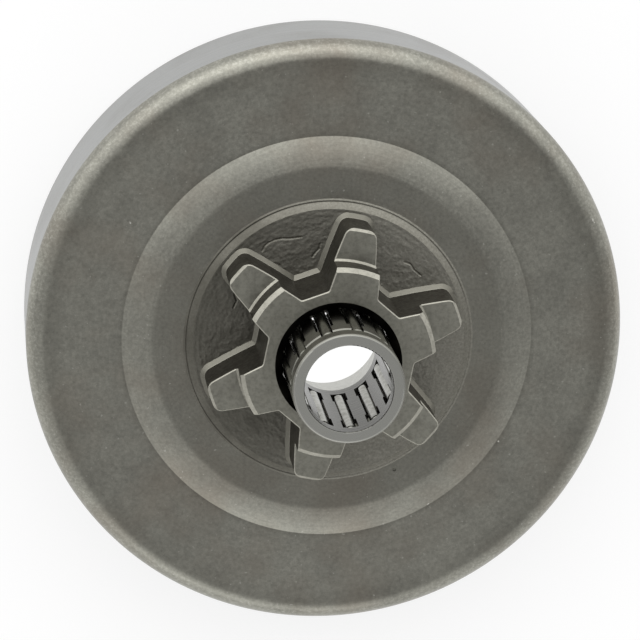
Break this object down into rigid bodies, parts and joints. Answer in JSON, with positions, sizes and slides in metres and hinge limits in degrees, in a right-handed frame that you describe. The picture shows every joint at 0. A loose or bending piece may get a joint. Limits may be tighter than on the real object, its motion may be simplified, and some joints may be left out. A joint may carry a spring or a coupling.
{
  "type": "chainsaw clutch drum",
  "caption": "Pressed steel clutch drum with a fixed spur sprocket on its closed face and a caged needle bearing standing out of the hub bore.",
  "frame": {"origin": "centre of the drum's open rim, on the plane that it stands on", "axes": "+Z along the drum's axis, from the open rim towards the sprocket and bearing; +X and +Y across the drum"},
  "size_m": [0.072, 0.072, 0.0374],
  "materials": {
    "drum_steel": "satin pressed steel with faint turning marks",
    "sprocket_steel": "sintered steel, ground on the top faces and rough on the flange",
    "cage_steel": "smooth turned steel",
    "needle_steel": "ground and polished bearing steel"
  },
  "bodies": {
    "drum": {"drum_shell": "drum_steel", "sprocket": "sprocket_steel"},
    "cage": {"needle_cage": "cage_steel"},
    "needle_01_body": {"needle_01": "needle_steel"},
    "needle_02_body": {"needle_02": "needle_steel"},
    "needle_03_body": {"needle_03": "needle_steel"},
    "needle_04_body": {"needle_04": "needle_steel"},
    "needle_05_body": {"needle_05": "needle_steel"},
    "needle_06_body": {"needle_06": "needle_steel"},
    "needle_07_body": {"needle_07": "needle_steel"},
    "needle_08_body": {"needle_08": "needle_steel"},
    "needle_09_body": {"needle_09": "needle_steel"},
    "needle_10_body": {"needle_10": "needle_steel"},
    "needle_11_body": {"needle_11": "needle_steel"}
  },
  "joints": [
    {"name": "cage_spin", "type": "hinge", "parent": "drum", "child": "cage", "pos_m": [0, 0, 0.0288], "axis": [0, 0, 1], "continuous": true},
    {"name": "needle_01_spin", "type": "hinge", "parent": "cage", "child": "needle_01_body", "pos_m": [-0.00209, 0.00538, 0.0288], "axis": [0, 0, 1], "continuous": true},
    {"name": "needle_02_spin", "type": "hinge", "parent": "cage", "child": "needle_02_body", "pos_m": [-0.00466, 0.0034, 0.0288], "axis": [0, 0, 1], "continuous": true},
    {"name": "needle_03_spin", "type": "hinge", "parent": "cage", "child": "needle_03_body", "pos_m": [-0.00576, 0.00034, 0.0288], "axis": [0, 0, 1], "continuous": true},
    {"name": "needle_04_spin", "type": "hinge", "parent": "cage", "child": "needle_04_body", "pos_m": [-0.00503, -0.00283, 0.0288], "axis": [0, 0, 1], "continuous": true},
    {"name": "needle_05_spin", "type": "hinge", "parent": "cage", "child": "needle_05_body", "pos_m": [-0.0027, -0.0051, 0.0288], "axis": [0, 0, 1], "continuous": true},
    {"name": "needle_06_spin", "type": "hinge", "parent": "cage", "child": "needle_06_body", "pos_m": [0.00049, -0.00575, 0.0288], "axis": [0, 0, 1], "continuous": true},
    {"name": "needle_07_spin", "type": "hinge", "parent": "cage", "child": "needle_07_body", "pos_m": [0.00352, -0.00457, 0.0288], "axis": [0, 0, 1], "continuous": true},
    {"name": "needle_08_spin", "type": "hinge", "parent": "cage", "child": "needle_08_body", "pos_m": [0.00543, -0.00195, 0.0288], "axis": [0, 0, 1], "continuous": true},
    {"name": "needle_09_spin", "type": "hinge", "parent": "cage", "child": "needle_09_body", "pos_m": [0.00562, 0.0013, 0.0288], "axis": [0, 0, 1], "continuous": true},
    {"name": "needle_10_spin", "type": "hinge", "parent": "cage", "child": "needle_10_body", "pos_m": [0.00403, 0.00413, 0.0288], "axis": [0, 0, 1], "continuous": true},
    {"name": "needle_11_spin", "type": "hinge", "parent": "cage", "child": "needle_11_body", "pos_m": [0.00115, 0.00565, 0.0288], "axis": [0, 0, 1], "continuous": true}
  ],
  "couplings": [
    {"joint": "needle_01_spin", "follows": "cage_spin", "ratio": -8.72},
    {"joint": "needle_02_spin", "follows": "cage_spin", "ratio": -8.72},
    {"joint": "needle_03_spin", "follows": "cage_spin", "ratio": -8.72},
    {"joint": "needle_04_spin", "follows": "cage_spin", "ratio": -8.72},
    {"joint": "needle_05_spin", "follows": "cage_spin", "ratio": -8.72},
    {"joint": "needle_06_spin", "follows": "cage_spin", "ratio": -8.72},
    {"joint": "needle_07_spin", "follows": "cage_spin", "ratio": -8.72},
    {"joint": "needle_08_spin", "follows": "cage_spin", "ratio": -8.72},
    {"joint": "needle_09_spin", "follows": "cage_spin", "ratio": -8.72},
    {"joint": "needle_10_spin", "follows": "cage_spin", "ratio": -8.72},
    {"joint": "needle_11_spin", "follows": "cage_spin", "ratio": -8.72}
  ]
}
